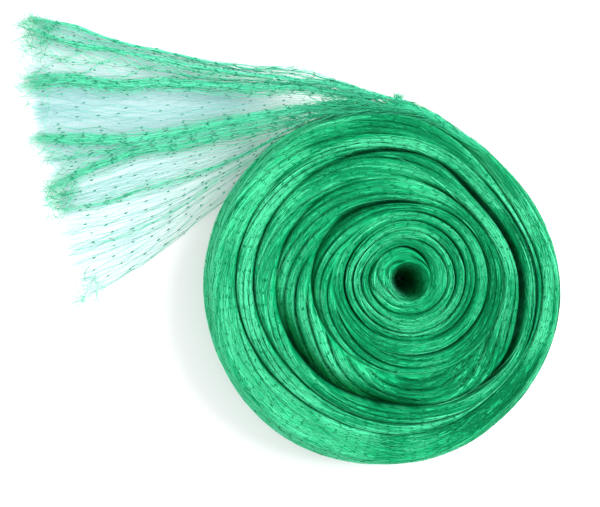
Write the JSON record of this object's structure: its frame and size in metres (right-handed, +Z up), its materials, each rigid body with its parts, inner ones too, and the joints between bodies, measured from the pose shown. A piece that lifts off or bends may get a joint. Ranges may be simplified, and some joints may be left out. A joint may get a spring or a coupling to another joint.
{
  "type": "roll of pond netting",
  "caption": "Roll of fine green knotted pond netting lying on its end face, a gathered band wound loosely round an open centre, with the loose end spread out as open diamond mesh.",
  "frame": {"origin": "centre of the whole part's bounding box, on the floor", "axes": "+Z up along the roll's axis, +X from the loose end to the roll"},
  "size_m": [0.3766, 0.32, 0.078],
  "materials": {
    "wound_net": "fine satin polyethylene strands",
    "open_net": "fine satin polyethylene strands, half clear where single"
  },
  "bodies": {
    "root": {"netting_roll": "wound_net", "loose_end": "open_net"}
  },
  "joints": []
}
